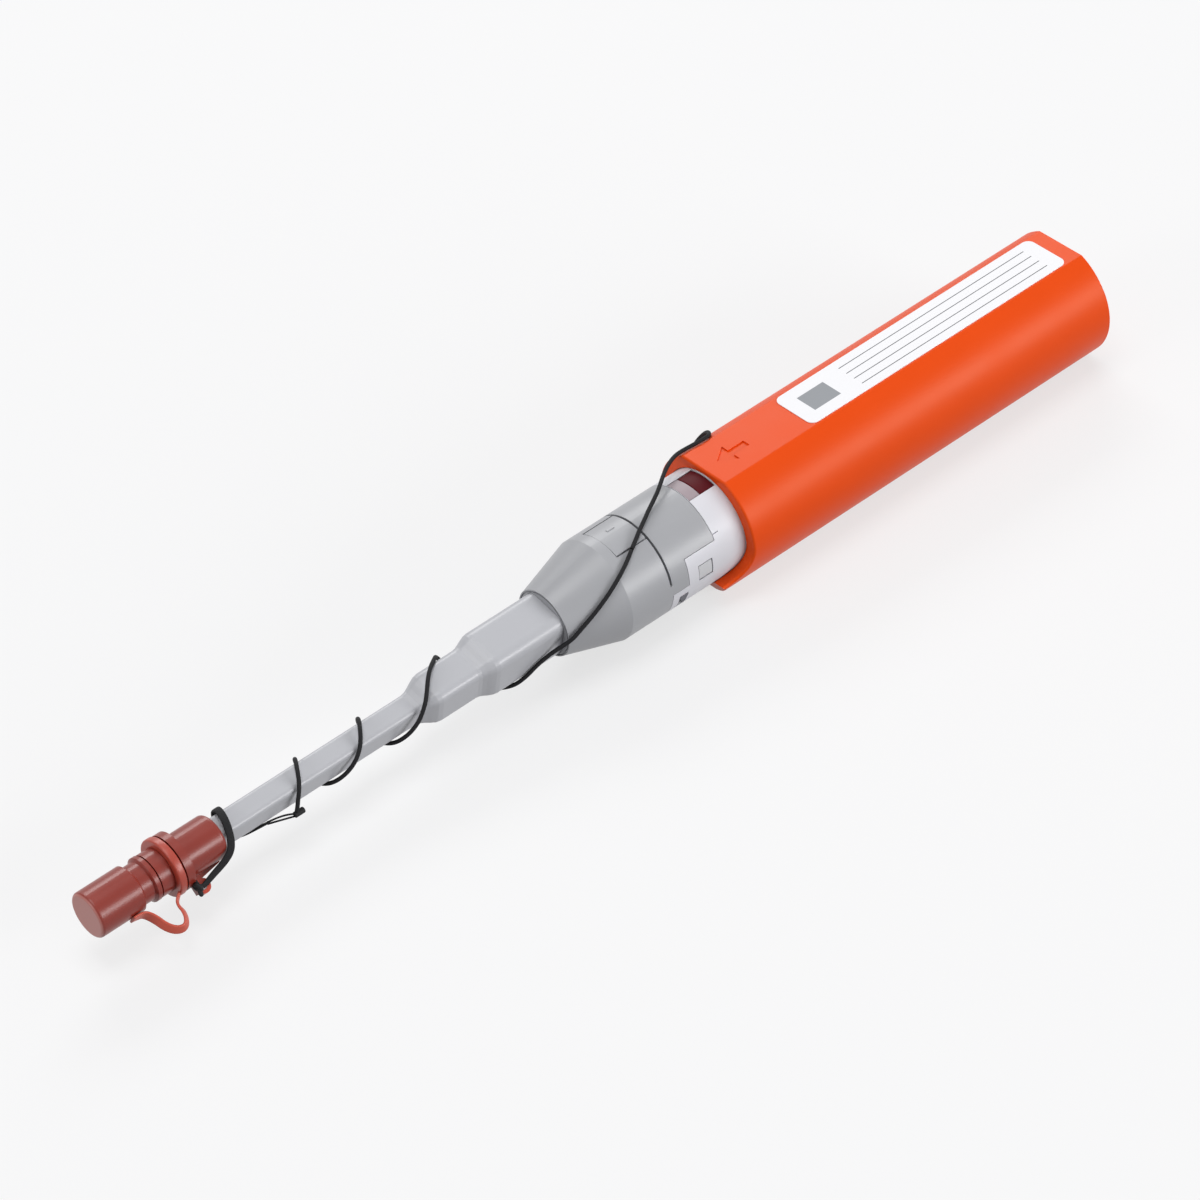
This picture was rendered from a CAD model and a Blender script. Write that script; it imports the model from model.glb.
# %% [markdown]
# # A fibre connector cleaning pen
# The pen is a push tool: an orange handle, a white barrel with a grey cone and nozzle, a red-brown cap
# and a thin black cord wound round the front. Its measured solids come in as a fixed frame, in metres,
# and everything made here goes where those solids are. The camera and the cords come first, because
# they decide how much room the scene needs; the finishes and the light come after them.

# %% Load the frame
import math

import bpy
import numpy as np
from mathutils import Matrix, Vector


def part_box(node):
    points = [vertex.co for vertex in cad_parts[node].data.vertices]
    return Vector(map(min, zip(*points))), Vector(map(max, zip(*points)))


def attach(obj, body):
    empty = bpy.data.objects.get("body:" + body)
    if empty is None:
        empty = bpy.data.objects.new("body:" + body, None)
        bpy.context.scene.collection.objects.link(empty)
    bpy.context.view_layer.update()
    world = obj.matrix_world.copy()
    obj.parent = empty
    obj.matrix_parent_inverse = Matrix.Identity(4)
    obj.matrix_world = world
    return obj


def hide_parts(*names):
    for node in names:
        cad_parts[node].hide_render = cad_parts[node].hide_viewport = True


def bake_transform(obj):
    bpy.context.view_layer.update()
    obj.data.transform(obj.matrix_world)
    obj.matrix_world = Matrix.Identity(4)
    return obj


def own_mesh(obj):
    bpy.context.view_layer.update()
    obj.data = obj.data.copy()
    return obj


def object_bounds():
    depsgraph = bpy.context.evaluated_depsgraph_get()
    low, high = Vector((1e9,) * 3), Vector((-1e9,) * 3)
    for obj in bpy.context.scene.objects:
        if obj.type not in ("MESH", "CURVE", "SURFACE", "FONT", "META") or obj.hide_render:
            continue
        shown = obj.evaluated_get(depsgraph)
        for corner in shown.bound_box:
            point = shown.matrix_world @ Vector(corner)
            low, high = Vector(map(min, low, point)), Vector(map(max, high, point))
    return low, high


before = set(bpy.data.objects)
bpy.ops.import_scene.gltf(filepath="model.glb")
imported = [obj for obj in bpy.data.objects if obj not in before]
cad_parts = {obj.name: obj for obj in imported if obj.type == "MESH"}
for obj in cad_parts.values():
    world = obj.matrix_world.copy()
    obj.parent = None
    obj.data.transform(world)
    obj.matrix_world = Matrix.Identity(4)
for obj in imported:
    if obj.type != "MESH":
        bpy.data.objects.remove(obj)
cad_box = [list(corner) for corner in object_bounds()]
print("solids:", len(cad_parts), "box:", [[round(v, 4) for v in corner] for corner in cad_box])

# %% [markdown]
# ## Sizes and places
# A pen is easiest to describe about its own axis: how far along, how far out, and at what angle round.
# The axis runs along X, 10.8 mm over the bench, and x = 0 is the slit in the nose cone. One helper
# turns such a place into the frame's metres, for one point or for a whole array of them.

# %% Places about the pen's axis
MM = 0.001
AXIS_SHIFT = np.array([-57.1, 0.0, 10.8])


def place(x, radius, angle):
    """Point (x, r, a) about the axis -> (x, -r sin a, r cos a), moved into the frame, in metres."""
    turn = np.radians(angle)
    spot = np.stack(np.broadcast_arrays(x, -np.sin(turn) * radius, np.cos(turn) * radius), axis=-1)
    return (spot + AXIS_SHIFT) * MM


print("slit at the top of the cone:", place(0.0, 9.75, 0.0).round(5))

# %% [markdown]
# ## Camera
# A long lens from well back keeps the handle's two long edges nearly parallel. The camera looks down
# on the pen at about 41 degrees from its front left, with a slight roll, and everything is in focus.

# %% Camera
azimuth, elevation, roll = np.radians([37.96, 40.76, -5.75])
distance, lens, sensor = 932.0, 164.985, 36.0
backward = np.array([-np.sin(azimuth) * np.cos(elevation), -np.cos(azimuth) * np.cos(elevation),
                     np.sin(elevation)])
level_right = np.array([np.cos(azimuth), -np.sin(azimuth), 0.0])
level_up = np.cross(backward, level_right)
right = np.cos(roll) * level_right + np.sin(roll) * level_up
up = -np.sin(roll) * level_right + np.cos(roll) * level_up
look_at = (np.array([-7.95, 0.0, -2.69]) + AXIS_SHIFT) * MM

camera_data = bpy.data.cameras.new("camera")
camera_data.sensor_width = sensor
camera_data.lens = lens
camera_data.clip_start, camera_data.clip_end = 0.05, 20.0
camera = bpy.data.objects.new("camera", camera_data)
turn = Matrix([list(right), list(up), list(backward)]).transposed().to_4x4()
camera.matrix_world = Matrix.Translation(Vector(look_at + backward * distance * MM)) @ turn
bpy.context.scene.collection.objects.link(camera)
bpy.context.scene.camera = camera
print("lens %.0f mm, %.2f m away" % (camera_data.lens, distance * MM))

# %% [markdown]
# ## Surfaces from arrays
# Most pieces here are grids: a function gives a point for each pair (u, v), numpy works all of them
# out at once, and the mesh gets them in one go. A grid may close on itself in one direction or both,
# and a tube gets a cap at each end. Its UV map counts real millimetres, so a weave keeps its size.

# %% Grid to mesh
shown = bpy.context.scene.collection


def grid_mesh(name, points, wrap_u=False, wrap_v=True, caps=True, uv=None):
    """Mesh from an (rows, columns, 3) array. Each face joins point (i, j) to (i+1, j), (i+1, j+1) and
    (i, j+1); v wraps round a section, u wraps end to start, and caps close an open tube's two ends."""
    rows, columns = points.shape[:2]
    i = np.arange(rows if wrap_u else rows - 1)[:, None]
    j = np.arange(columns if wrap_v else columns - 1)[None, :]
    here, along = i * columns + j, (i + 1) % rows * columns + j
    across, corner = i * columns + (j + 1) % columns, (i + 1) % rows * columns + (j + 1) % columns
    quads = np.stack(np.broadcast_arrays(here, along, corner, across), axis=-1).reshape(-1, 4)
    faces = [list(face) for face in quads.tolist()]
    if caps and wrap_v and not wrap_u:
        faces.append(list(range(columns)))
        faces.append(list(range((rows - 1) * columns, rows * columns))[::-1])
    mesh = bpy.data.meshes.new(name)
    mesh.from_pydata(points.reshape(-1, 3).tolist(), [], faces)
    mesh.polygons.foreach_set("use_smooth", [len(face) == 4 for face in faces])
    if uv is not None:
        layer = mesh.uv_layers.new(name="length")
        spread = np.zeros((sum(len(face) for face in faces), 2))
        ends = np.stack([uv[i + du, j + dv] for du, dv in ((0, 0), (1, 0), (1, 1), (0, 1))], axis=-2)
        spread[:len(quads) * 4] = ends.reshape(-1, 2)
        layer.data.foreach_set("uv", spread.ravel())
    mesh.update()
    piece = bpy.data.objects.new(name, mesh)
    shown.objects.link(piece)
    return piece


def squared(wave, power):
    """Sine or cosine of a superellipse: sign(v) |v| ** (2 / power), rounder near 2 and squarer above."""
    return np.sign(wave) * np.abs(wave) ** (2.0 / power)


def side_of(path, toward):
    """Unit frames along a path: tangent t by differences, n = toward less its part along t, b = t x n."""
    tangent = np.gradient(path, axis=0)
    tangent /= np.linalg.norm(tangent, axis=1, keepdims=True)
    normal = toward - tangent * np.sum(toward * tangent, axis=1, keepdims=True)
    normal /= np.linalg.norm(normal, axis=1, keepdims=True)
    return tangent, normal, np.cross(tangent, normal)


def outward(path):
    """Direction from the pen's axis to each point of a path."""
    away = path - AXIS_SHIFT * MM
    away[:, 0] = 0.0
    return away


def sweep(name, path, half_width, half_height, toward, columns=16, power=2.0):
    """Tube whose section is the superellipse |y/w|^p + |z/h|^p = 1, height along the outward side."""
    tangent, normal, side = side_of(path, toward)
    theta = np.linspace(0, 2 * np.pi, columns, endpoint=False)
    w = np.broadcast_to(half_width, len(path))[:, None, None]
    h = np.broadcast_to(half_height, len(path))[:, None, None]
    points = (path[:, None] + side[:, None] * squared(np.cos(theta), power)[None, :, None] * w
              + normal[:, None] * squared(np.sin(theta), power)[None, :, None] * h)
    run = np.concatenate([[0.0], np.cumsum(np.linalg.norm(np.diff(path, axis=0), axis=1))]) / MM
    around = np.arange(columns + 1) / columns
    uv = np.stack(np.broadcast_arrays(run[:, None], around[None, :]), axis=-1)
    return grid_mesh(name, points, uv=uv)


print("grid helpers ready")

# %% [markdown]
# ## The cord
# A tool like this is tied up with a thin braided cord, so that the cap isn't lost. It starts at an eye
# on the handle's far side, comes round the mouth, crosses the cone and is wound down the nozzle. A cord
# is best drawn as a smooth spline through few control points: NURBS of order 3 rounds each of them off
# as a limp cord would. The tube's surface then follows points read back from that spline.

# %% Reading a smooth line from control points
def smooth_line(name, places, resolution=6):
    """Points along a NURBS of order 3 whose control points are (x, radius, angle) places."""
    spots = place(*np.array(places, float).T)
    curve = bpy.data.curves.new(name, "CURVE")
    curve.dimensions = "3D"
    curve.resolution_u = resolution
    spline = curve.splines.new("NURBS")
    spline.points.add(len(spots) - 1)
    spline.points.foreach_set("co", np.hstack([spots, np.ones((len(spots), 1))]).ravel())
    spline.order_u = 3
    spline.use_endpoint_u = True
    holder = bpy.data.objects.new(name, curve)
    shown.objects.link(holder)
    bpy.context.view_layer.update()
    read = bpy.data.meshes.new_from_object(holder.evaluated_get(bpy.context.evaluated_depsgraph_get()))
    line = np.empty(len(read.vertices) * 3)
    read.vertices.foreach_get("co", line)
    bpy.data.objects.remove(holder)
    bpy.data.meshes.remove(read)
    line = line.reshape(-1, 3)
    keep = np.concatenate([[True], np.linalg.norm(np.diff(line, axis=0), axis=1) > 1e-6])
    return line[keep]


def length_of(line):
    """Sum of the steps between a line's points."""
    return float(np.linalg.norm(np.diff(line, axis=0), axis=1).sum())


reach_route = [(29.6, 12.97, -86), (26.6, 12.97, -86), (25.2, 12.9, -82.3), (24.8, 12.75, -75),
               (25.2, 12.65, -66), (25.6, 12.6, -56), (25.5, 12.6, -44), (24.9, 12.6, -35),
               (23.9, 12.5, -28.5), (22.4, 12.5, -28.0), (20.9, 12.5, -28.8), (18.7, 12.5, -31.5),
               (16.7, 12.5, -31.9), (14.3, 12.35, -26.4), (12.2, 12.0, -21.0), (9.9, 11.6, -13.5),
               (8.1, 11.2, -7.5), (6.1, 10.85, -2.0), (3.6, 10.55, 4.7), (1.5, 10.4, 11.2),
               (-0.5, 10.3, 17.0), (-2.3, 10.25, 23.2), (-4.0, 10.25, 28.6)]
wrap_route = [(-4.15, 10.25, 29.1), (-5.6, 10.25, 34.3), (-7.5, 10.25, 40.1), (-9.2, 10.2, 44.8),
              (-11.3, 9.65, 51.4), (-13.3, 9.05, 58.0), (-15.6, 8.4, 65.8), (-18.0, 7.7, 75.0),
              (-20.2, 7.15, 85.8), (-21.8, 6.1, 96.0), (-23.6, 5.45, 107), (-26.2, 5.4, 119),
              (-28.8, 6.0, 134), (-31.0, 6.4, 151), (-32.4, 6.15, 168)]
turns_route = [(-32.5, 6.15, 170), (-33.6, 6.0, 186), (-34.9, 5.95, 206), (-36.4, 5.85, 231),
               (-37.9, 5.5, 256), (-39.2, 5.15, 281), (-40.5, 5.1, 306), (-41.5, 5.0, 323),
               (-43.8, 4.95, 346), (-45.7, 4.8, 364.5), (-47.3, 4.55, 384.6), (-48.6, 4.25, 404.5),
               (-49.8, 4.0, 422.4), (-51.0, 3.8, 441.7), (-52.4, 3.65, 462), (-53.9, 3.55, 484),
               (-55.3, 3.5, 510), (-56.3, 3.45, 540), (-57.1, 3.45, 570), (-57.7, 3.45, 600),
               (-58.2, 3.45, 630), (-58.7, 3.45, 662), (-59.4, 3.45, 694), (-60.5, 3.45, 722),
               (-61.6, 3.45, 748), (-62.7, 3.45, 773), (-64.0, 3.45, 797), (-65.5, 3.45, 820),
               (-67.2, 3.45, 843), (-68.7, 3.45, 868), (-69.8, 3.45, 897), (-70.5, 3.45, 927),
               (-71.1, 3.45, 957), (-71.6, 3.45, 988), (-72.1, 3.45, 1020), (-72.9, 3.45, 1053),
               (-73.9, 3.45, 1080), (-74.8, 3.45, 1105), (-75.6, 3.45, 1129), (-76.3, 3.45, 1150),
               (-76.9, 3.5, 1170), (-77.2, 3.75, 1190), (-77.4, 4.15, 1207)]
upper_strand = [(-77.9, 4.15, 131), (-78.8, 3.75, 130), (-79.9, 3.4, 131), (-81.1, 3.15, 137),
                (-82.3, 3.05, 147)]
lower_strand = [(-77.9, 4.55, 134.5), (-79.0, 4.25, 135), (-80.2, 3.9, 137.5), (-81.3, 3.6, 143),
                (-82.3, 3.4, 151)]
leash_route = [(-81.9, 3.2, 147), (-84.1, 3.15, 157), (-86.2, 3.25, 172), (-87.7, 3.4, 192),
               (-88.3, 3.5, 218), (-88.6, 3.5, 246), (-88.8, 3.5, 274), (-89.0, 3.5, 302),
               (-89.3, 3.5, 330), (-89.7, 3.5, 358), (-90.15, 3.5, 386), (-90.6, 3.55, 413),
               (-91.05, 3.9, 436), (-91.9, 4.6, 455), (-93.4, 5.0, 467), (-95.1, 5.3, 474),
               (-96.9, 5.7, 479), (-98.3, 6.1, 481.5), (-99.2, 6.1, 478),
               (-99.9, 6.05, 474)]
reach_line = smooth_line("reach_line", reach_route)
wrap_line = smooth_line("wrap_line", wrap_route)
turns_line = smooth_line("turns_line", turns_route)
leash_line = smooth_line("leash_line", leash_route)
print("cord lengths in mm:", [round(length_of(line) / MM, 1)
                              for line in (reach_line, wrap_line, turns_line, leash_line)])

# %% [markdown]
# The round cord is about 0.75 mm thick. The leash behind the cap is the same cord pressed flat, 1.4 mm
# wide and under half a millimetre thick. Each tube may cross one sliding joint at most, so the cord is
# made in lengths: one between handle and barrel, one between barrel and nozzle, and one that stays on
# the nozzle. The leash lies flat on the nozzle and turns its flat outwards on the way to the cap's lug.

# %% Cord tubes
CORD_R = 0.37 * MM
cord_reach = sweep("cord_reach_braid", reach_line, CORD_R, CORD_R, outward(reach_line))
cord_wrap = sweep("cord_wrap_braid", wrap_line, CORD_R, CORD_R, outward(wrap_line))
cord_turns = sweep("cord_turns_braid", turns_line, CORD_R, CORD_R, outward(turns_line))
leash_ramp = np.linspace(0, 1, len(leash_line))
leash_width = np.interp(leash_ramp, [0, 0.1, 0.72, 0.86, 1], [0.4, 0.7, 0.7, 0.6, 0.4]) * MM
front_left_up = np.array([-0.47, -0.6, 0.65])
leash_side = outward(leash_line)
leash_side /= np.linalg.norm(leash_side, axis=1, keepdims=True)
leash_side += np.interp(leash_ramp, [0.6, 0.8], [0.0, 1.2])[:, None] * front_left_up
leash = sweep("leash_ribbon", leash_line, leash_width, 0.2 * MM, leash_side, power=3.0)
for piece, node in ((cord_reach, "cord_reach"), (cord_wrap, "cord_wrap"), (cord_turns, "cord_turns"),
                    (leash, "leash_band")):
    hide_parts(node)
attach(cord_turns, "nozzle")
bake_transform(cord_reach)
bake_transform(cord_wrap)
tuple(place(-90.4, 3.6, 40))
tuple(place(-98.5, 6.1, 118))
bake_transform(leash)
print("cord faces:", [len(p.data.polygons) for p in (cord_reach, cord_wrap, cord_turns, leash)])

# %% [markdown]
# ## Strands and knots
# Behind the crimp the cord splits into two thin strands that run on under the nozzle. A knot holds the
# cord at the handle's eye and another one holds the leash at the cap's lug. A trefoil is the shape of an
# overhand knot whose ends are joined, and it has a plain formula, so it stands for both knots.

# %% Strands and knots
STRAND_R = 0.17 * MM
strands = []
for name, route, node in (("strand_upper", upper_strand, "leash_upper"),
                          ("strand_lower", lower_strand, "leash_lower")):
    line = smooth_line(name + "_line", route)
    strand = sweep(name, line, STRAND_R, STRAND_R, outward(line), columns=10)
    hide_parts(node)
    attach(strand, "nozzle")
    strands.append(strand)


def knot(name, centre, size, turn, thickness, columns=10, steps=120):
    """Overhand knot drawn tight, as a trefoil: x = sin t + 2 sin 2t, y = cos t - 2 cos 2t,
    z = -sin 3t, each scaled to size and turned, with a round tube carried along it."""
    t = np.linspace(0, 2 * np.pi, steps, endpoint=False)
    line = np.stack([np.sin(t) + 2 * np.sin(2 * t), np.cos(t) - 2 * np.cos(2 * t), -np.sin(3 * t)], axis=-1)
    line = line / 3.0 * np.array(size) * MM
    line = line @ np.array(turn).T + centre
    ahead = np.roll(line, -1, axis=0) - np.roll(line, 1, axis=0)
    ahead /= np.linalg.norm(ahead, axis=1, keepdims=True)
    away = line - centre
    normal = away - ahead * np.sum(away * ahead, axis=1, keepdims=True)
    normal /= np.linalg.norm(normal, axis=1, keepdims=True)
    side = np.cross(ahead, normal)
    theta = np.linspace(0, 2 * np.pi, columns, endpoint=False)
    points = line[:, None] + thickness * MM * (side[:, None] * np.cos(theta)[None, :, None]
                                               + normal[:, None] * np.sin(theta)[None, :, None])
    return grid_mesh(name, points, wrap_u=True, caps=False)


def axes_at(angle):
    """Columns: radial, round the pen and along it, at an angle round the axis."""
    a = math.radians(angle)
    radial, along = np.array([0, -math.sin(a), math.cos(a)]), np.array([1.0, 0, 0])
    return np.stack([radial, np.cross(along, radial), along], axis=1)


eye_tie = knot("eye_knot_tie", place(30.3, 12.97, -86), (0.55, 0.5, 0.4), axes_at(-86), 0.3)
lug_tie = knot("lug_knot_tie", place(-99.8, 6.0, 115.5), (1.35, 0.72, 0.5), axes_at(128), 0.4)
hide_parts("eye_knot")
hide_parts("lug_knot")
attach(eye_tie, "housing")
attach(lug_tie, "guide_cap")

print("knots tied at the handle's eye and at the cap's lug")

# %% [markdown]
# ## Window plates and snap pads
# The barrel's window shows a pale plate in front and a dark red one behind it, close under the
# surface, and a spring hook fills each square hole in its sides. All are curved plates: a rounded
# oblong section carried round part of the pen, so one helper makes the four of them.

# %% Curved plates
def arc_plate(name, x_span, radius_span, middle_angle, half_angle, power=9.0, columns=40, rows=25):
    """Superellipse section |x/a|^p + |r/b|^p = 1 turned from middle - half to middle + half."""
    theta = np.linspace(0, 2 * np.pi, columns, endpoint=False) + np.pi / 4
    x = np.mean(x_span) + squared(np.cos(theta), power) * np.ptp(x_span) / 2
    r = np.mean(radius_span) + squared(np.sin(theta), power) * np.ptp(radius_span) / 2
    angles = middle_angle + np.linspace(-half_angle, half_angle, rows)
    return grid_mesh(name, place(x[None, :], r[None, :], angles[:, None]))


pale_plate = arc_plate("window_plate_pale", (10.99, 13.5), (8.64, 9.62), 0, 17.6)
red_plate = arc_plate("window_plate_red", (13.53, 16.86), (8.64, 9.6), 0, 17.6)
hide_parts("indicator_pale")
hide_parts("indicator_red")
snap_pads = [arc_plate("snap_pad_%s" % side, (6.36, 9.24), (9.5, 9.66), angle, 8.3)
             for side, angle in (("near", 90), ("far", -90))]
for piece, slot in ((pale_plate, "mauve_plastic"), (red_plate, "dark_red_plastic"),
                    (snap_pads[0], "grey_plastic"), (snap_pads[1], "grey_plastic")):
    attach(piece, "barrel")
print("plates:", [len(p.data.polygons) for p in (pale_plate, red_plate, *snap_pads)])

# %% [markdown]
# ## Lid strap
# The dust lid hangs on a soft ribbon that is moulded with a ring round the cap. The ribbon loops out
# and back, so its middle line is a smooth spline in one plane through the axis, with a flat rounded
# section. A soft ribbon that is bent back also twists, so its flat turns by up to 34 degrees in the
# loop. The ring is a rounded section turned about the axis. The ribbon bends when the lid comes off: it
# follows the cap at one end and the lid at the other.

# %% Strap
STRAP_ANGLE = 125.0
strap_places = [(-111.9, 4.44), (-110.6, 4.52), (-109.6, 4.75), (-108.6, 6.3), (-107.9, 8.3),
                (-106.7, 9.75), (-105.2, 10.15), (-104.2, 9.3), (-103.75, 7.8), (-104.0, 6.6),
                (-103.6, 5.6), (-102.4, 4.85)]
strap_line = smooth_line("strap_line", [(x, r, STRAP_ANGLE) for x, r in strap_places], resolution=8)
across = (place(0, 1, STRAP_ANGLE + 90) - place(0, 0, 0)) / MM
strap_ahead = np.gradient(strap_line, axis=0)
strap_ahead /= np.linalg.norm(strap_ahead, axis=1, keepdims=True)
strap_ramp = np.linspace(0, 1, len(strap_line))
strap_twist = np.radians(np.interp(strap_ramp, [0, 0.12, 0.3, 0.75, 1], [0, 8, 34, 34, 15]))[:, None]
strap_side = np.cross(across, strap_ahead) * np.cos(strap_twist) - across * np.sin(strap_twist)
strap_half = np.interp(strap_ramp, [0, 0.12, 0.3, 1], [1.25, 1.1, 0.82, 0.82]) * MM
strap_band = sweep("strap_band", strap_line, strap_half, 0.24 * MM, strap_side, columns=28, power=4.5)
strap_ring = arc_plate("strap_ring", (-102.8, -101.32), (3.67, 5.35), 0, 180, power=5.0, rows=97)
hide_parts("lid_strap")
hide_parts("lid_strap")
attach(strap_ring, "guide_cap")
tuple(place(-103.9, 0, 0))
tuple(place(-109.4, 0, 0))
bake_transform(strap_band)
print("strap %.1f mm long" % (length_of(strap_line) / MM))

# %% [markdown]
# ## Return spring
# A coil spring pushes the barrel forward again. Its wire is drawn steel, so a helix with a round
# section is all it needs; it closes up as the barrel slides in.

# %% Spring
spring_low, spring_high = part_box("return_spring")
wire, coil_radius, coils = 0.45 * MM, 5.65 * MM, 7
reach = np.linspace(0, 1, 28 * coils + 1)
spring_line = np.stack([spring_low[0] + wire + (spring_high[0] - spring_low[0] - 2 * wire) * reach,
                        coil_radius * np.sin(2 * np.pi * coils * reach),
                        coil_radius * np.cos(2 * np.pi * coils * reach) + AXIS_SHIFT[2] * MM], axis=-1)
spring = sweep("spring_coil", spring_line, wire, wire, outward(spring_line), columns=12)
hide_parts("return_spring")
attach(spring, "housing")
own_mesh(spring)

# %% [markdown]
# ## Finishes
# Moulded plastic is never one flat colour: its gloss varies a little and its skin has a fine grain.
# One node group works that out for every plastic here, with the colour, the gloss and the grain's
# size as inputs, and the Principled shader stays in each material.

# %% Moulded skin group
def new_group(name, inputs, outputs):
    """Empty node group with named inputs (name, kind, value) and outputs (name, kind)."""
    group = bpy.data.node_groups.new(name, "ShaderNodeTree")
    for label, kind, value in inputs:
        socket = group.interface.new_socket(label, in_out="INPUT", socket_type=kind)
        socket.default_value = value
    for label, kind in outputs:
        group.interface.new_socket(label, in_out="OUTPUT", socket_type=kind)
    return group, group.nodes.new("NodeGroupInput"), group.nodes.new("NodeGroupOutput")


def add(tree, kind, **settings):
    """New node with its properties set by name, and its inputs by number where the key is in_N."""
    node = tree.nodes.new(kind)
    for key, value in settings.items():
        if key.startswith("in_"):
            node.inputs[int(key[3:])].default_value = value
        else:
            setattr(node, key, value)
    return node


def moulded_group():
    """Color times 1 + mottle (cloud - 0.5), roughness + 0.16 (cloud - 0.5), and a fine grain's height."""
    group, given, result = new_group(
        "moulded_skin",
        [("Color", "NodeSocketColor", (0.5, 0.5, 0.5, 1)), ("Roughness", "NodeSocketFloat", 0.4),
         ("Mottle", "NodeSocketFloat", 0.06), ("Grain Scale", "NodeSocketFloat", 4000.0)],
        [("Color", "NodeSocketColor"), ("Roughness", "NodeSocketFloat"), ("Height", "NodeSocketFloat")])
    link = group.links.new
    where = add(group, "ShaderNodeTexCoord")
    cloud = add(group, "ShaderNodeTexNoise", in_2=90.0, in_3=4.0)
    grain = add(group, "ShaderNodeTexNoise", in_3=2.0)
    link(where.outputs["Object"], cloud.inputs["Vector"])
    link(where.outputs["Object"], grain.inputs["Vector"])
    link(given.outputs["Grain Scale"], grain.inputs["Scale"])
    centred = add(group, "ShaderNodeMath", operation="SUBTRACT", in_1=0.5)
    link(cloud.outputs["Fac"], centred.inputs[0])
    swing = add(group, "ShaderNodeMath", operation="MULTIPLY")
    link(centred.outputs[0], swing.inputs[0])
    link(given.outputs["Mottle"], swing.inputs[1])
    value = add(group, "ShaderNodeMath", operation="ADD", in_1=1.0)
    link(swing.outputs[0], value.inputs[0])
    shade = add(group, "ShaderNodeHueSaturation")
    link(value.outputs[0], shade.inputs["Value"])
    link(given.outputs["Color"], shade.inputs["Color"])
    link(shade.outputs["Color"], result.inputs["Color"])
    gloss = add(group, "ShaderNodeMath", operation="MULTIPLY_ADD", in_1=0.16)
    link(centred.outputs[0], gloss.inputs[0])
    link(given.outputs["Roughness"], gloss.inputs[2])
    link(gloss.outputs[0], result.inputs["Roughness"])
    link(grain.outputs["Fac"], result.inputs["Height"])
    return group


moulded_skin = moulded_group()
print("node group:", moulded_skin.name, "with", len(moulded_skin.nodes), "nodes")

# %% [markdown]
# ## Marks
# Some places on a piece have another colour: print on the label, the lid's matt face, or the thin lug
# that light comes through. A second group gives a mask for one box in space, and a material places it
# once for each of its marks. Object coordinates hold still on the piece, so the marks do as well.

# %% Box mask group
def box_mask_group():
    """1 inside a box and 0 outside: the least of half - |place - middle| over x, y and z, in edges."""
    group, given, result = new_group(
        "box_mask",
        [("Middle", "NodeSocketVector", (0, 0, 0)), ("Half", "NodeSocketVector", (1, 1, 1)),
         ("Edge", "NodeSocketFloat", 0.00003)],
        [("Mask", "NodeSocketFloat")])
    link = group.links.new
    where = add(group, "ShaderNodeTexCoord")
    apart = add(group, "ShaderNodeVectorMath", operation="SUBTRACT")
    size = add(group, "ShaderNodeVectorMath", operation="ABSOLUTE")
    inside = add(group, "ShaderNodeVectorMath", operation="SUBTRACT")
    split = add(group, "ShaderNodeSeparateXYZ")
    nearest = add(group, "ShaderNodeMath", operation="MINIMUM")
    least = add(group, "ShaderNodeMath", operation="MINIMUM")
    soft = add(group, "ShaderNodeMath", operation="DIVIDE", use_clamp=True)
    link(where.outputs["Object"], apart.inputs[0])
    link(given.outputs["Middle"], apart.inputs[1])
    link(apart.outputs[0], size.inputs[0])
    link(given.outputs["Half"], inside.inputs[0])
    link(size.outputs[0], inside.inputs[1])
    link(inside.outputs[0], split.inputs[0])
    link(split.outputs["X"], nearest.inputs[0])
    link(split.outputs["Y"], nearest.inputs[1])
    link(nearest.outputs[0], least.inputs[0])
    link(split.outputs["Z"], least.inputs[1])
    link(least.outputs[0], soft.inputs[0])
    link(given.outputs["Edge"], soft.inputs[1])
    link(soft.outputs[0], result.inputs["Mask"])
    return group


box_mask = box_mask_group()
print("node group:", box_mask.name, "with", len(box_mask.nodes), "nodes")

# %% Plastic from the two groups
def srgb(r, g, b):
    """Screen colour 0..255 -> linear light: ((c + 0.055) / 1.055) ** 2.4 above the toe."""
    c = np.array([r, g, b]) / 255.0
    linear = np.where(c <= 0.04045, c / 12.92, ((c + 0.055) / 1.055) ** 2.4)
    return tuple(linear.tolist()) + (1.0,)


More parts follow.
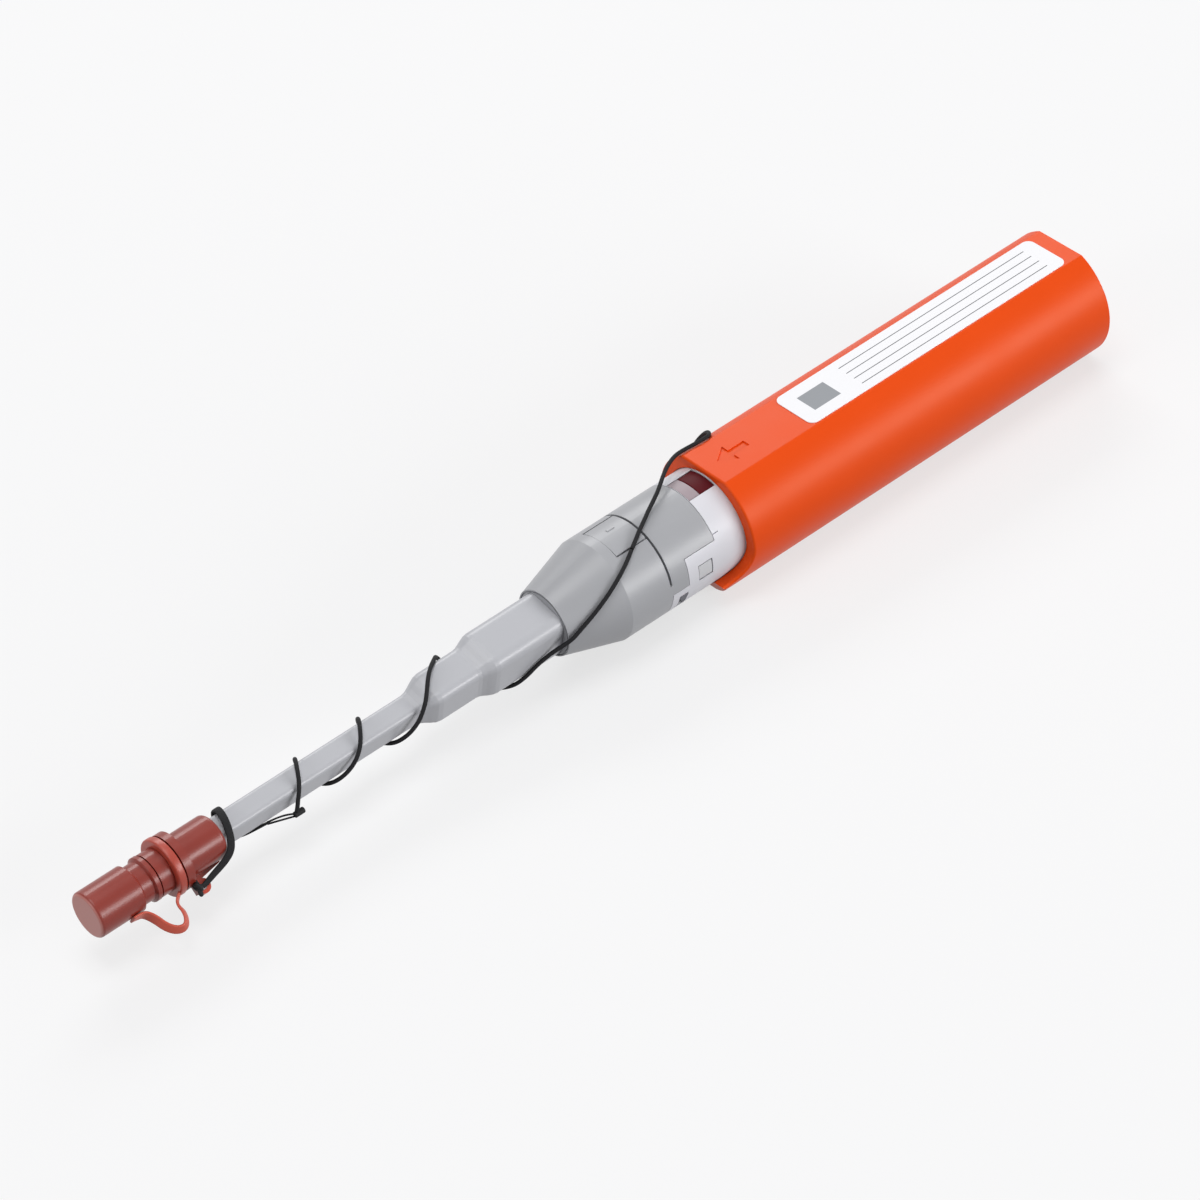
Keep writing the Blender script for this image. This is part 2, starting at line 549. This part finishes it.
def plastic(name, color, roughness=0.4, mottle=0.06, grain=4000.0, bump=0.05, specular=0.5, coat=0.0,
            tint=(1, 1, 1, 1), marks=()):
    """Principled plastic fed by the moulded skin group. Each mark is (low, high, color, edge): a box in
    metres where the plastic has another colour."""
    material = bpy.data.materials.new(name)
    material.use_nodes = True
    tree = material.node_tree
    shader = tree.nodes["Principled BSDF"]
    skin = add(tree, "ShaderNodeGroup", node_tree=moulded_skin)
    skin.inputs["Color"].default_value = color
    under = None
    for low, high, mark_color, edge in marks:
        mask = add(tree, "ShaderNodeGroup", node_tree=box_mask)
        mask.inputs["Middle"].default_value = tuple((np.array(low) + high) / 2)
        mask.inputs["Half"].default_value = tuple((np.array(high) - low) / 2)
        mask.inputs["Edge"].default_value = edge
        over = add(tree, "ShaderNodeMix", data_type="RGBA")
        over.inputs["A"].default_value = color
        over.inputs["B"].default_value = mark_color
        tree.links.new(mask.outputs["Mask"], over.inputs["Factor"])
        if under:
            tree.links.new(under.outputs["Result"], over.inputs["A"])
        tree.links.new(over.outputs["Result"], skin.inputs["Color"])
        under = over
    skin.inputs["Roughness"].default_value = roughness
    skin.inputs["Mottle"].default_value = mottle
    skin.inputs["Grain Scale"].default_value = grain
    relief = add(tree, "ShaderNodeBump")
    relief.inputs["Strength"].default_value = bump
    relief.inputs["Distance"].default_value = 0.00005
    tree.links.new(skin.outputs["Color"], shader.inputs["Base Color"])
    tree.links.new(skin.outputs["Roughness"], shader.inputs["Roughness"])
    tree.links.new(skin.outputs["Height"], relief.inputs["Height"])
    tree.links.new(relief.outputs["Normal"], shader.inputs["Normal"])
    shader.inputs["Specular IOR Level"].default_value = specular
    shader.inputs["Specular Tint"].default_value = tint
    shader.inputs["Coat Weight"].default_value = coat
    return material


print("moulded orange in linear light:", np.round(srgb(221, 71, 9)[:3], 3).tolist())

# %% [markdown]
# The label is a plain one to write on: a grey block and four ruled lines, placed by fractions of the
# label's own box. The lid's face and the lug are given from the pen's axis.

# %% Marks on the label, the lid and the lug
label_low, label_high = (np.array(corner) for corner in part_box("label"))
label_size = label_high - label_low


def printed(along, across, ink):
    """Printed bar on the label, between two fractions of its length and two of its width."""
    low = label_low + label_size * [along[0], across[0], -2.0]
    high = label_low + label_size * [along[1], across[1], 3.0]
    return low, high, ink, 0.00004


ink = srgb(58, 60, 64)
label_print = [printed((0.22, 0.95), (y - 0.011, y + 0.011), ink) for y in (0.2, 0.4, 0.6, 0.8)]
label_print.append(printed((0.05, 0.15), (0.26, 0.74), srgb(140, 143, 148)))
lid_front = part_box("dust_lid")[0][0]
lid_face = (np.array([lid_front - 0.001, -0.02, 0.0]), np.array([lid_front + 0.0003, 0.02, 0.03]),
            srgb(182, 112, 104), 0.0002)
lug_red = (place(-99.6, 0, 0) + [0, -0.009, -0.009], place(-89.0, 0, 0) + [0, -0.0033, -0.0024],
           srgb(182, 66, 48), 0.0006)
print("marks:", len(label_print), "on the label, one on the lid's face and one on the lug")

# %% Plastics
orange = plastic("orange_handle", srgb(221, 71, 9), 0.42, specular=0.21, tint=(1.0, 0.9, 0.66, 1))
white = plastic("white_barrel", srgb(210, 210, 216), 0.45, mottle=0.02, specular=0.35)
pad_grey = plastic("snap_pad_grey", srgb(196, 197, 200), 0.4, mottle=0.02)
grey = plastic("grey_nose", srgb(158, 159, 163), 0.36, mottle=0.03, specular=0.42)
pale_grey = plastic("pale_grey_nozzle", srgb(176, 177, 182), 0.32, mottle=0.03, specular=0.42)
red_brown = plastic("red_brown_cap", srgb(132, 45, 34), 0.3, bump=0.01, specular=0.42,
                    marks=[lid_face, lug_red])
strap_red = plastic("soft_strap", srgb(192, 80, 60), 0.45, mottle=0.08, bump=0.02)
ring_red = plastic("strap_ring_red", srgb(166, 62, 46), 0.34, mottle=0.08, bump=0.02)
dark_red = plastic("dark_red_plate", srgb(82, 16, 24), 0.5, specular=0.08)
mauve = plastic("mauve_plate", srgb(150, 136, 142), 0.5)
paper = plastic("label_film", srgb(232, 232, 235), 0.5, mottle=0.02, grain=2500.0, specular=0.2,
                marks=label_print)
acetal = plastic("natural_acetal", srgb(214, 212, 204), 0.5, mottle=0.04)
print("plastics made")

# %% [markdown]
# ## Steel, cord and thread
# Drawn steel has fine streaks along the wire, so its gloss follows a noise that is stretched. A braid is
# two sets of strands that cross at a slant: two sine waves on the tube's own UV give the weave its
# height and its colour. Wound thread is a row of ridges.

# %% Drawn steel
def drawn_steel():
    """Roughness from 0.22 to 0.42 by a noise that is drawn out twenty times along X."""
    material = bpy.data.materials.new("drawn_steel")
    material.use_nodes = True
    tree = material.node_tree
    shader = tree.nodes["Principled BSDF"]
    shader.inputs["Base Color"].default_value = srgb(190, 192, 196)
    shader.inputs["Metallic"].default_value = 1.0
    where = add(tree, "ShaderNodeTexCoord")
    stretch = add(tree, "ShaderNodeMapping")
    stretch.inputs["Scale"].default_value = (300.0, 6000.0, 6000.0)
    streak = add(tree, "ShaderNodeTexNoise", in_2=1.0, in_3=3.0)
    span = add(tree, "ShaderNodeMapRange", in_3=0.22, in_4=0.42)
    tree.links.new(where.outputs["Object"], stretch.inputs["Vector"])
    tree.links.new(stretch.outputs["Vector"], streak.inputs["Vector"])
    tree.links.new(streak.outputs["Fac"], span.inputs["Value"])
    tree.links.new(span.outputs["Result"], shader.inputs["Roughness"])
    return material


steel = drawn_steel()
print("steel made")

# %% Braid and thread
def woven(name, color, dark, along, around, depth=0.00006, roughness=0.75):
    """Braid on a tube's own UV: two sets of slanting strands, |sin(a u + b v)| against |sin(a u - b v)|."""
    material = bpy.data.materials.new(name)
    material.use_nodes = True
    tree = material.node_tree
    link = tree.links.new
    shader = tree.nodes["Principled BSDF"]
    where = add(tree, "ShaderNodeUVMap", uv_map="length")
    split = add(tree, "ShaderNodeSeparateXYZ")
    link(where.outputs["UV"], split.inputs[0])
    run = add(tree, "ShaderNodeMath", operation="MULTIPLY", in_1=along)
    ring = add(tree, "ShaderNodeMath", operation="MULTIPLY", in_1=around * 2 * math.pi)
    link(split.outputs["X"], run.inputs[0])
    link(split.outputs["Y"], ring.inputs[0])
    waves = []
    for operation in ("ADD", "SUBTRACT"):
        mixed = add(tree, "ShaderNodeMath", operation=operation)
        wave = add(tree, "ShaderNodeMath", operation="SINE")
        size = add(tree, "ShaderNodeMath", operation="ABSOLUTE")
        link(run.outputs[0], mixed.inputs[0])
        link(ring.outputs[0], mixed.inputs[1])
        link(mixed.outputs[0], wave.inputs[0])
        link(wave.outputs[0], size.inputs[0])
        waves.append(size)
    height = add(tree, "ShaderNodeMath", operation="MAXIMUM")
    link(waves[0].outputs[0], height.inputs[0])
    link(waves[1].outputs[0], height.inputs[1])
    blend = add(tree, "ShaderNodeMix", data_type="RGBA")
    blend.inputs["A"].default_value = dark
    blend.inputs["B"].default_value = color
    link(height.outputs[0], blend.inputs["Factor"])
    link(blend.outputs["Result"], shader.inputs["Base Color"])
    relief = add(tree, "ShaderNodeBump")
    relief.inputs["Strength"].default_value = 0.6
    relief.inputs["Distance"].default_value = depth
    link(height.outputs[0], relief.inputs["Height"])
    link(relief.outputs["Normal"], shader.inputs["Normal"])
    shader.inputs["Roughness"].default_value = roughness
    shader.inputs["Specular IOR Level"].default_value = 0.25
    return material


def plain_thread(name, color, roughness):
    """Wound thread: fine ridges from a wave across the reel's width."""
    material = bpy.data.materials.new(name)
    material.use_nodes = True
    tree = material.node_tree
    shader = tree.nodes["Principled BSDF"]
    where = add(tree, "ShaderNodeTexCoord")
    ridge = add(tree, "ShaderNodeTexWave", bands_direction="Y", in_1=1200.0, in_2=0.6)
    relief = add(tree, "ShaderNodeBump")
    relief.inputs["Distance"].default_value = 0.0001
    tree.links.new(where.outputs["Object"], ridge.inputs["Vector"])
    tree.links.new(ridge.outputs["Fac"], relief.inputs["Height"])
    tree.links.new(relief.outputs["Normal"], shader.inputs["Normal"])
    shader.inputs["Base Color"].default_value = color
    shader.inputs["Roughness"].default_value = roughness
    return material


braid = woven("black_braid", srgb(21, 21, 24), srgb(6, 6, 7), 5.2, 4)
thread = plain_thread("white_thread", srgb(236, 236, 232), 0.8)
knot_black = plastic("knot_black", srgb(21, 21, 23), 0.7, grain=5000.0, bump=0.4, specular=0.3)
print("braid and thread made")

# %% [markdown]
# ## Dressing the solids
# A solid from the frame keeps its shape and place; it only gets its finish. The table says which
# finish each one wears, and the pieces made here are dressed in the same way.

# %% Dress every piece
wear = {
    orange: ["housing"], white: ["barrel"], grey: ["nose_cone", "lock_tab"], pale_grey: ["nozzle"],
    red_brown: ["guide_cap", "dust_lid"], paper: ["label"],
    acetal: ["drive_rail", "reel_frame", "takeup_reel", "drive_pinion", "ratchet_wheel",
             "ratchet_pawl", "supply_reel", "cam_hub", "spindle_bush", "cleaning_tip"],
    steel: ["takeup_axle", "supply_axle", "spindle"],
    thread: ["takeup_thread", "supply_thread"],
    knot_black: ["cord_crimp"],
}


def dress(piece, material):
    """Put the material in each slot of a piece, or in a new one where it has none."""
    slots = piece.material_slots
    if not slots:
        piece.data.materials.append(material)
    for slot in slots:
        slot.material = material


made = {
    braid: [cord_reach, cord_wrap, cord_turns, leash, *strands], knot_black: [eye_tie, lug_tie],
    steel: [spring], mauve: [pale_plate], dark_red: [red_plate], pad_grey: snap_pads,
    strap_red: [strap_band], ring_red: [strap_ring],
}
for material, nodes in wear.items():
    for node in nodes:
        dress(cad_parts[node], material)
for material, pieces in made.items():
    for piece in pieces:
        dress(piece, material)
print("dressed", sum(map(len, wear.values())), "solids and", sum(map(len, made.values())), "new pieces")

# %% [markdown]
# ## Floor and light
# The pen lies on a pale bench under soft light: a panel behind it, a low one on the near side that
# draws the bright line along every round part, one overhead, a low one in front that lifts the faces
# turned to the tip, and a plain sky. The bench itself is grey, so it throws little light back under
# the pen. It looks nearly white only to the eye and in a gloss, through Light Path, and so does the
# sky, so that the steel inside mirrors a white room.

# %% Bench and sky
BENCH_GLOW, SKY, SKY_SHOWN = 0.67, 0.33, 0.95


def shown_white(tree, shown_as, otherwise):
    """Value that is one number where the eye, a gloss or a glass looks and another for all other light:
    the largest of Light Path's camera, glossy and transmission rays picks between the two."""
    rays = add(tree, "ShaderNodeLightPath")
    glossy = add(tree, "ShaderNodeMath", operation="MAXIMUM")
    seen = add(tree, "ShaderNodeMath", operation="MAXIMUM")
    pick = add(tree, "ShaderNodeMapRange", in_3=otherwise, in_4=shown_as)
    tree.links.new(rays.outputs["Is Glossy Ray"], glossy.inputs[0])
    tree.links.new(rays.outputs["Is Transmission Ray"], glossy.inputs[1])
    tree.links.new(glossy.outputs[0], seen.inputs[0])
    tree.links.new(rays.outputs["Is Camera Ray"], seen.inputs[1])
    tree.links.new(seen.outputs[0], pick.inputs["Value"])
    return pick.outputs["Result"]


def bench():
    """Flat square of 12 m, grey to the light and nearly white to the eye, declared as stage."""
    size = 6.0
    mesh = bpy.data.meshes.new("bench")
    mesh.from_pydata([(-size, -size, 0), (size, -size, 0), (size, size, 0), (-size, size, 0)], [],
                     [(0, 1, 2, 3)])
    piece = bpy.data.objects.new("bench", mesh)
    shown.objects.link(piece)
    material = bpy.data.materials.new("pale_bench")
    material.use_nodes = True
    tree = material.node_tree
    shader = tree.nodes["Principled BSDF"]
    shader.inputs["Base Color"].default_value = (0.24, 0.24, 0.245, 1)
    shader.inputs["Roughness"].default_value = 0.9
    shader.inputs["Specular IOR Level"].default_value = 0.0
    shader.inputs["Emission Color"].default_value = (1, 1, 1, 1)
    tree.links.new(shown_white(tree, BENCH_GLOW, 0.0), shader.inputs["Emission Strength"])
    mesh.materials.append(material)


bench()
world = bpy.data.worlds.new("sky")
bpy.context.scene.world = world
world.use_nodes = True
air = world.node_tree.nodes["Background"]
air.inputs["Color"].default_value = (1, 1, 1, 1)
world.node_tree.links.new(shown_white(world.node_tree, SKY_SHOWN, SKY), air.inputs["Strength"])
bpy.context.scene.view_settings.view_transform = "Standard"
print("bench and sky ready")

# %% Lamps
middle = Vector((cad_box[0][0] + cad_box[1][0], 0, 0)) / 2
FAR = 1.2


def panel(name, direction, size, brightness):
    """Area lamp facing the pen's middle. Its power is pi times its area times its brightness."""
    data = bpy.data.lights.new(name, "AREA")
    data.shape, data.size, data.size_y = "RECTANGLE", size[0], size[1]
    data.energy = math.pi * size[0] * size[1] * brightness
    lamp = bpy.data.objects.new(name, data)
    way = Vector(direction).normalized()
    across = Vector((1, 0, 0))
    across = (across - way * across.dot(way)).normalized()
    lamp.matrix_world = (Matrix.Translation(middle + way * FAR)
                         @ Matrix([across, way.cross(across), way]).transposed().to_4x4())
    shown.objects.link(lamp)
    return lamp


back_panel = panel("back_panel", (0.466, 0.70, 0.54), (0.9, 0.34), 6.5)
side_panel = panel("side_panel", (0.50, -0.84, 0.25), (0.95, 0.38), 9.2)
top_panel = panel("top_panel", (-0.09, 0.0, 1.0), (0.6, 0.60), 4.8)
front_panel = panel("front_panel", (-0.93, 0.12, 0.35), (0.5, 0.45), 4.5)
lamps = (back_panel, side_panel, top_panel, front_panel)
print("lamps:", [round(lamp.data.energy, 1) for lamp in lamps], "W")
